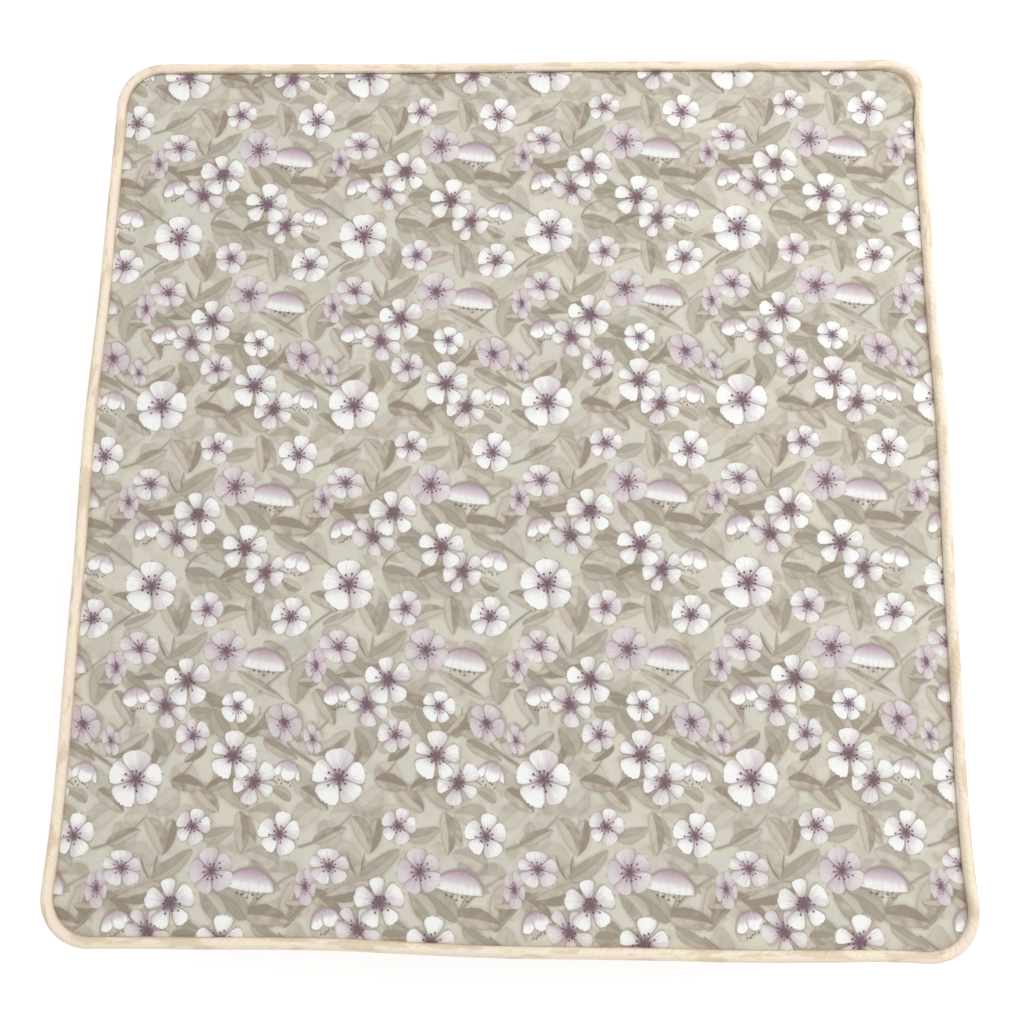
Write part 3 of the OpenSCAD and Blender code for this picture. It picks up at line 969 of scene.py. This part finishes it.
def ribbon(path, thickness, step):
    """A closed section of that thickness, or thicknesses, along a path of (inset, z) points."""
    path = np.asarray(path, float)
    thickness = np.broadcast_to(thickness, len(path))
    points, widths = [path[:1]], [thickness[:1]]
    for a, b, ta, tb in zip(path, path[1:], thickness, thickness[1:]):
        count = max(1, round(np.linalg.norm(b - a) / step))
        t = np.linspace(0, 1, count + 1)[1:]
        points.append(a + (b - a) * t[:, None])
        widths.append(ta + (tb - ta) * t)
    points, widths = np.concatenate(points), np.concatenate(widths)
    runs = np.diff(points, axis=0)
    normals = np.stack([-runs[:, 1], runs[:, 0]], -1) / np.linalg.norm(runs, axis=1)[:, None]
    before, after = np.vstack([normals[:1], normals]), np.vstack([normals, normals[-1:]])
    mitre = (before + after) / (1 + np.sum(before * after, axis=1))[:, None]
    offset = mitre * widths[:, None] / 2
    return np.vstack([points + offset, (points - offset)[::-1]])


def pillow(inset_out, inset_in, low, high, count):
    """A section like a flattened oval."""
    angles = np.linspace(0, math.tau, count, endpoint=False)
    c, s = np.cos(angles), np.sin(angles)
    x = (inset_out + inset_in) / 2 + (inset_in - inset_out) / 2 * np.sign(c) * abs(c) ** 0.6
    z = (low + high) / 2 + (high - low) / 2 * np.sign(s) * abs(s) ** 0.6
    return np.stack([x, z], -1)


def strip_of(node):
    """The insets and heights that a wall-hugging CAD node spans at the sides of the case."""
    low, high = box_mm(node)
    return HALF_W - high[0], low[2], high[2]


def round_the_case(name, sections, step):
    return sweep(name, sections, 0.0, PERIMETER, step)


def round_the_zip(name, sections, step):
    return sweep(name, sections, HINGE_END, HINGE_START + PERIMETER, step)


def across_the_hinge(name, sections, step):
    gap = 0.1
    return sweep(name, sections, HINGE_START + gap, HINGE_END - gap, step)


ZIP_RUN = PERIMETER - (HINGE_END - HINGE_START)


# ---- threads, coils and stitches ----

def add_coil(name, centre_z, half_h, phase):
    """The zip's coil: one long wire wound round, a turn for each tooth."""
    pitch, steps, sides, wire = 1.4, 8, 5, 0.32
    middle_in, half_d = 2.3, 0.68
    turns = round(ZIP_RUN / pitch)
    t = np.linspace(0, 1, turns * steps + 1)
    angle = math.tau * turns * t + phase
    lag = 0.25 * np.sin(angle)
    s = HINGE_END + 1 + (ZIP_RUN - 2) * t + lag
    centre = around(s, middle_in, centre_z)
    path = around(s, middle_in + half_d * np.cos(angle), centre_z + half_h * np.sin(angle))
    along = np.gradient(path, axis=0)
    along /= np.linalg.norm(along, axis=1)[:, None]
    side = np.cross(along, path - centre)
    side /= np.linalg.norm(side, axis=1)[:, None]
    up = np.cross(side, along)
    ring = np.linspace(0, math.tau, sides, endpoint=False)[None, :, None]
    points = path[:, None] + wire * (np.cos(ring) * up[:, None] + np.sin(ring) * side[:, None])
    faces = tube_faces(len(path), sides)
    return add_mesh(name, points.reshape(-1, 3), faces, np.zeros((len(faces), 4, 2)), soft=False)


STITCH = 2.6
STITCH_GAP = 0.7
THREAD_R = 0.22


def add_stitches(name, body, rows, outward):
    """Rows of (starts, ends) of short threads, bowed a little outward and dipping in at their ends."""
    starts, ends = (np.vstack([row[i] for row in rows]) for i in (0, 1))
    outward = np.broadcast_to(np.asarray(outward, float), starts.shape)
    run = ends - starts
    side = np.cross(run, outward)
    side /= np.linalg.norm(side, axis=1)[:, None]
    verts = []
    for t, rise, fat in ((0, -0.1, 0.5), (0.2, 0.08, 1), (0.8, 0.08, 1), (1, -0.1, 0.5)):
        middle = starts + run * t + outward * rise
        for across, up in ((1, 0), (0, 1), (-1, 0), (0, -1)):
            verts.append(middle + (side * across + outward * up) * THREAD_R * fat)
    verts = np.stack(verts, 1)
    one = np.vstack([tube_faces(4, 4), [[3, 2, 1, 0]], [[12, 13, 14, 15]]])
    faces = (one[None] + np.arange(len(starts))[:, None, None] * 16).reshape(-1, 4)
    obj = add_mesh(name, verts.reshape(-1, 3), faces, np.zeros((len(faces), 4, 2)), sharp=80)
    finish_piece(obj, body, "trim_cloth", THREAD)


def dashes(run):
    """Where each stitch starts and ends in a row that long, as shares of it."""
    count = max(1, round(run / (STITCH + STITCH_GAP)))
    begin = np.arange(count) / count
    return begin, begin + STITCH / (STITCH + STITCH_GAP) / count


def stitch_line(start, end):
    """The starts and the ends of the stitches in a straight row."""
    start, end = np.asarray(start, float), np.asarray(end, float)
    a, b = dashes(np.linalg.norm(end - start))
    return start + (end - start) * a[:, None], start + (end - start) * b[:, None]


# ---- pieces of both halves ----

def build_piping(body, centre_z, flange_z):
    """The bias strip round its cord, and the strip's two plies running in to the seam."""
    low_angle = math.degrees(math.asin((flange_z - centre_z) / PIPING_R))
    high_angle = math.degrees(math.asin((flange_z + CLOTH - centre_z) / PIPING_R))
    outside = arc(PIPING_R, centre_z, PIPING_R, high_angle, 360 + low_angle, 24)
    reach = np.linspace(2 * PIPING_R, FLANGE_IN, 5)
    lower = np.stack([reach, np.full(5, flange_z)], -1)
    upper = np.stack([reach[::-1], np.full(5, flange_z + CLOTH)], -1)
    bore = arc(PIPING_R, centre_z, 1.45, 360, 0, 13)[:-1]
    cover = round_the_case(f"{body}_piping", [np.vstack([outside, lower, upper]), bore], 1.8)
    finish_piece(cover, body, "trim_cloth", TRIM, f"{body}_piping_cover")
    cord = round_the_case(f"{body}_piping_filler", [arc(PIPING_R, centre_z, 1.4, 0, 360, 13)[:-1]], 3)
    finish_piece(cord, body, "foam", FOAM, f"{body}_piping_cord")


def build_zip_half(body, sign):
    inset, low, high = strip_of(f"{body}_zip_tape")
    thickness = 0.5
    path = [(inset + thickness / 2, low), (inset + thickness / 2, high)]
    tape = round_the_zip(f"{body}_zip_tape_cloth", [ribbon(path, thickness, 2)], 3)
    ZIP_RUN * MM
    (high - low) * MM
    finish_piece(tape, body, "zip_tape", TAPE, f"{body}_zip_tape")
    coil = add_coil(f"{body}_coil", ZIP_Z + sign * 1.45, 1.22, 0.0 if sign > 0 else math.pi)
    finish_piece(coil, body, "zip_coil", COIL, f"{body}_zip_coil")


def build_binding(body):
    inset, low, high = strip_of(f"{body}_seam_binding")
    binding = round_the_case(f"{body}_binding", [pillow(inset, inset + 7.6, low, high, 24)], 3)
    finish_piece(binding, body, "trim_cloth", BINDING, f"{body}_seam_binding")


def build_flat_layer(name, node, body, slot, material, step, lip=0.0):
    low, high = box_mm(node)
    obj = sheet_grid(name, HALF_W - high[0], low[2], high[2] - low[2], step, lip)
    if slot == "printed_cloth":
        lay_print(obj)
    return finish_piece(obj, body, slot, material, node)


def build_layers(body, step, lip):
    """A half's printed panel, foam and lining."""
    panel = build_flat_layer(f"{body}_panel_cloth", f"{body}_panel", body, "printed_cloth", PRINT, step, lip)
    foam = build_flat_layer(f"{body}_foam_pad", f"{body}_foam", body, "foam", FOAM, 6)
    lining = build_flat_layer(f"{body}_lining_cloth", f"{body}_lining", body, "lining_cloth", LINING, 4)


def build_topstitch(body, z):
    start = HINGE_END + 3
    reach = ZIP_RUN - 6
    a, b = dashes(reach)
    starts, ends = around(start + a * reach, WALL_IN, z), around(start + b * reach, WALL_IN, z)
    _, outward = side_of(starts)
    outward = np.hstack([outward, np.zeros((len(outward), 1))])
    add_stitches(f"{body}_zip_topstitch", body, [(starts, ends)], outward)


# ---- lid ----

def build_lid():
    build_layers("lid", step=2.5, lip=0.5)

    _, low, high = strip_of("lid_band")
    edge = high - CLOTH / 2
    path = [(WALL_MIDDLE, low), (WALL_MIDDLE, edge), (FLANGE_IN, edge)]
    band = round_the_zip("lid_band_cloth", [ribbon(path, CLOTH, 2.2)], 2.8)
    lay_print(band, (30, 40))
    ZIP_RUN * MM
    (high - low + 8) * MM
    finish_piece(band, "lid", "printed_cloth", PRINT, "lid_band")

    build_piping("lid", TOP - PIPING_R, high)
    build_zip_half("lid", 1)
    build_binding("lid")
    build_topstitch("lid", low + 1.5)


# ---- base ----

def build_base():
    build_layers("base", step=3.5, lip=0.0)

    _, _, high = strip_of("base_band")
    band = round_the_zip("base_band_cloth", [ribbon(*foot_path(high), 2.2)], 2.8)
    lay_print(band, (30, 0))
    ZIP_RUN * MM
    (high + 6) * MM
    finish_piece(band, "base", "printed_cloth", PRINT, "base_band")
    build_wall_layer("base_band_pad", "base_band_foam", "foam", FOAM, round_the_zip, ZIP_RUN)
    build_wall_layer("base_wall_lining", "base_band_lining", "lining_cloth", LINING, round_the_zip, ZIP_RUN)

    build_piping("base", PIPING_R, box_mm("base_panel")[1][2])
    build_zip_half("base", -1)
    build_binding("base")
    build_topstitch("base", high - 1.5)


def foot_path(top):
    """The walls' cloth from inside the base seam, past the piping and up the wall, with its thicknesses."""
    seam_z, foot_z = 2.0, WALL_FOOT + CLOTH / 2
    beside, thin = PANEL_IN + 0.25, 0.5
    path = [(FLANGE_IN, seam_z), (beside, seam_z), (beside, foot_z)]
    path += [(WALL_MIDDLE, foot_z), (WALL_MIDDLE, top)]
    return path, [CLOTH, thin, thin, CLOTH, CLOTH]


def build_wall_layer(name, node, slot, material, way, run):
    """Foam or lining inside the walls. way sweeps it over its share of the case, which is run long; run is
    not used.
    """
    low, high = box_mm(node)
    outer = HALF_L - high[1]
    thickness = FOAM_T if slot == "foam" else LINING_T
    path = [(outer + thickness / 2, low[2]), (outer + thickness / 2, high[2])]
    obj = way(name, [ribbon(path, thickness, 5)], 5)
    if slot == "foam":
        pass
    else:
        run * MM
    return finish_piece(obj, "base", slot, material, node)


def build_hinge():
    """The back wall's cloth, in one piece across the hinge line, and the foam and lining below it."""
    top = box_mm("lid_band")[1][2] - CLOTH / 2
    path, thickness = foot_path(ZIP_Z - 6)
    path += [(WALL_MIDDLE, ZIP_Z + 6), (WALL_MIDDLE, top), (FLANGE_IN, top)]
    thickness += [CLOTH] * 3
    run = HINGE_END - HINGE_START
    gusset = across_the_hinge("hinge_cloth", [ribbon(path, thickness, 1.6)], 2.8)
    lay_print(gusset, (30, 0))
    run * MM
    gusset.data.materials.append(PRINT)
    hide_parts("hinge_gusset_lower", "hinge_gusset_upper")
    low, high = ((0, HINGE_Y * MM, (ZIP_Z + side * 4) * MM) for side in (-1, 1))
    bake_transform(gusset)
    build_wall_layer("hinge_pad", "hinge_gusset_foam", "foam", FOAM, across_the_hinge, run)
    build_wall_layer("hinge_lining", "hinge_gusset_lining", "lining_cloth", LINING, across_the_hinge, run)
    rows = []
    for side in (-1, 1):
        x = side * (HINGE_HALF - 2.5)
        rows.append(stitch_line((x, WALL_Y, WALL_FOOT + 3), (x, WALL_Y, ZIP_Z - 5)))
    add_stitches("hinge_stitches", "base", rows, (0, 1, 0))


# ---- handle ----

STRAP_T = 1.6
STRAP_HALF = -box_mm("handle_leg_left")[0][0]
STRAP_END = -box_mm("handle_end_left")[0][0]
GRIP_HALF = box_mm("handle_grip")[1][0]
STRAP_LOW = box_mm("handle_grip")[0][2]
STRAP_HIGH = box_mm("handle_grip")[1][2]
STRAP_BOW = box_mm("handle_grip")[1][1] - WALL_Y - STRAP_T


def bow(x):
    """How far the strap stands off the wall."""
    return STRAP_BOW * np.cos(math.pi / 2 * np.minimum(abs(x) / STRAP_HALF, 1)) ** 2


def build_strap(name, node, start, end):
    """Webbing with rounded edges along the bow from one x to another."""
    count = max(2, round(abs(end - start) / 2))
    x = np.linspace(start, end, count + 1)
    across = np.linspace(-1, 1, 15)
    half_t = STRAP_T / 2 * np.sqrt(1 - 0.75 * abs(across) ** 12)
    heights = (STRAP_LOW + STRAP_HIGH) / 2 + across * (STRAP_HIGH - STRAP_LOW) / 2
    section = np.vstack([np.stack([half_t, heights], -1), np.stack([-half_t, heights], -1)[::-1]])
    slope = np.gradient(bow(x), x)
    lean = np.stack([-slope, np.ones_like(slope)], -1) / np.sqrt(1 + slope ** 2)[:, None]
    middle = np.stack([x, WALL_Y + STRAP_T / 2 + bow(x)], -1)
    rings = np.zeros((len(x), len(section), 3))
    rings[..., :2] = middle[:, None] + lean[:, None] * section[None, :, :1]
    rings[..., 2] = section[None, :, 1]
    points, faces = loft(rings)
    obj = add_mesh(name, points, faces, points[faces][..., [0, 2]])
    obj.data.materials.append(WEBBING)
    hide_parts(node)
    return obj


def build_handle():
    for side, word in ((-1, "left"), (1, "right")):
        end = build_strap(f"strap_end_{word}", f"handle_end_{word}", side * STRAP_HALF, side * STRAP_END)
        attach(end, "base")
        leg = build_strap(f"strap_leg_{word}", f"handle_leg_{word}", side * GRIP_HALF, side * STRAP_HALF)
        y = WALL_Y * MM
        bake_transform(leg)
    grip = build_strap("strap_grip", "handle_grip", -GRIP_HALF, GRIP_HALF)
    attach(grip, "handle")

    rows = []
    y = WALL_Y + STRAP_T
    for side in (-1, 1):
        x0, x1 = side * (STRAP_HALF + 2.5), side * (STRAP_END - 2.5)
        z0, z1 = STRAP_LOW + 2, STRAP_HIGH - 2
        corners = [(x0, y, z0), (x1, y, z0), (x1, y, z1), (x0, y, z1)]
        for a, b in ((0, 1), (1, 2), (2, 3), (3, 0), (0, 2), (1, 3)):
            rows.append(stitch_line(corners[a], corners[b]))
    add_stitches("strap_stitches", "base", rows, (0, 1, 0))


# ---- sliders and pulls ----

PARK = 9.0                                      # each closed slider's distance from the middle
PLATE_L = 12.0


def plate_outline():
    """A slider's plate, wide at its mouth: points along and across the zip, from the mouth's middle round."""
    half_mouth, half_tail, radius = 4.6, 3.6, 2.0
    reach = PLATE_L / 2 - radius
    mouth = arc(reach, half_mouth - radius, radius, 0, 90, 6)
    tail = arc(-reach, half_tail - radius, radius, 90, 180, 6)
    upper = np.vstack([mouth, tail])
    return np.vstack([upper, (upper * [1, -1])[::-1]])


def plate(layers):
    """A plate from layers of (how far in from its outline, depth)."""
    outline = plate_outline()
    rings = []
    for shrink, depth in layers:
        size = abs(outline).max(0)
        ring = outline * (1 - shrink / size)
        rings.append(np.column_stack([ring[:, 0], np.full(len(ring), depth), ring[:, 1]]))
    return loft(np.array(rings))


def box_between(x0, x1, in0, in1, half_z):
    """A block along the zip from x0 to x1, from one depth to another."""
    ring = np.array([(x0, half_z), (x1, half_z), (x1, -half_z), (x0, -half_z)])
    rings = [np.column_stack([ring[:, 0], np.full(4, depth), ring[:, 1]]) for depth in (in0, in1)]
    return loft(np.array(rings))


def crown():
    """The arch that the pull's pivot runs through."""
    t = np.linspace(0, math.pi, 15)
    path = np.stack([3.1 * np.sign(np.cos(t)) * abs(np.cos(t)) ** 0.5, -0.3 - 2.35 * np.sin(t) ** 0.6], -1)
    run = np.gradient(path, axis=0)
    run /= np.linalg.norm(run, axis=1)[:, None]
    out = np.stack([-run[:, 1], run[:, 0]], -1)
    a = np.linspace(0, math.tau, 12, endpoint=False) + math.pi / 12
    thick = 0.5 * np.sign(np.cos(a)) * abs(np.cos(a)) ** 0.7
    wide = 0.9 * np.sign(np.sin(a)) * abs(np.sin(a)) ** 0.7
    rings = np.zeros((len(path), len(a), 3))
    rings[..., :2] = path[:, None] + out[:, None] * thick[None, :, None]
    rings[..., 2] = wide
    return loft(rings)


def build_slider(side, word):
    """Outer plate, inner plate, the post between them and the crown, as one piece."""
    parts = [
        plate([(0.5, 1.0), (0.05, 0.85), (0.0, 0.5), (0.1, 0.05), (0.5, -0.2), (1.4, -0.3)]),
        plate([(0.5, 5.2), (0.05, 5.0), (0.0, 4.7), (0.05, 4.25), (0.4, 4.1)]),
        box_between(PLATE_L / 2 - 3.4, PLATE_L / 2 - 1.2, 0.9, 4.2, 0.4),
        crown(),
    ]
    verts, faces = [], []
    offset = 0
    for points, quads in parts:
        if signed_volume(points, quads) < 0:
            quads = quads[:, ::-1]
        verts.append(points)
        faces.append(quads + offset)
        offset += len(points)
    points = np.vstack(verts)
    placed = np.column_stack([side * (PARK - points[:, 0]), points[:, 1] - HALF_L, ZIP_Z + points[:, 2]])
    obj = add_mesh(f"slider_{word}_metal", placed, np.vstack(faces), soft=False, sharp=35)
    finish_piece(obj, f"{word}_slider", "nickel", NICKEL, f"slider_{word}")


def finish_pulls():
    """The pulls are the CAD's own, with their edges rounded."""
    for word in ("left", "right"):
        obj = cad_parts[f"pull_{word}"]
        obj.data.materials.clear()
        obj.data.materials.append(NICKEL)
        edge = obj.modifiers.new("worn edges", "BEVEL")
        edge.width = 0.00025
        edge.segments = 2
        edge.limit_method = "ANGLE"
        edge.angle_limit = math.radians(40)
        edge.harden_normals = True


build_lid()
build_base()
build_hinge()
build_handle()
build_slider(-1, "left")
build_slider(1, "right")
finish_pulls()


# ---- stage, lights and camera ----

def build_stage():
    floor = bpy.data.meshes.new("floor")
    reach = 40.0
    floor.from_pydata([(-reach, -reach, 0), (reach, -reach, 0), (reach, reach, 0), (-reach, reach, 0)], [],
                      [(0, 1, 2, 3)])
    obj = add_object("floor", floor)
    material, _, shader = new_material("floor", 0.9)
    shader.inputs["Base Color"].default_value = (0.93, 0.93, 0.93, 1)
    shader.inputs["Emission Color"].default_value = (1, 1, 1, 1)
    shader.inputs["Emission Strength"].default_value = 0.35
    obj.data.materials.append(material)


def build_lights():
    world = bpy.data.worlds.new("studio")
    world.use_nodes = True
    world.node_tree.nodes["Background"].inputs["Color"].default_value = (1, 1, 1, 1)
    world.node_tree.nodes["Background"].inputs["Strength"].default_value = 0.63
    bpy.context.scene.world = world
    lights = [("key", (0.7, 0.42, 0.95), 1.1, 8.8), ("fill", (-1.2, -0.8, 1.6), 1.8, 5.4)]
    for name, spot, size, power in lights:
        light = bpy.data.lights.new(name, "AREA")
        light.size = size
        light.energy = power
        obj = add_object(name, light)
        obj.location = spot
        obj.rotation_mode = "QUATERNION"
        away = -np.array(spot)
        obj.rotation_quaternion = Vector(away).to_track_quat("-Z", "Y")


def build_camera():
    azimuth, elevation, roll = math.radians(9.3), math.radians(78.0), math.radians(-8.7)
    aim = Vector((0.001, -0.0172, 0.0977))
    distance = 0.5
    back = Vector((math.sin(azimuth) * math.cos(elevation), -math.cos(azimuth) * math.cos(elevation),
                   math.sin(elevation)))
    right = Vector((math.cos(azimuth), math.sin(azimuth), 0))
    up = back.cross(right)
    right, up = right * math.cos(roll) + up * math.sin(roll), up * math.cos(roll) - right * math.sin(roll)
    camera = bpy.data.cameras.new("camera")
    camera.lens = 40.4
    camera.clip_start = 0.01
    obj = add_object("camera", camera)
    obj.matrix_world = Matrix((right, up, back)).transposed().to_4x4()
    obj.location = aim + back * distance
    bpy.context.scene.camera = obj


build_stage()
build_lights()
build_camera()
bpy.context.scene.view_settings.view_transform = "Standard"
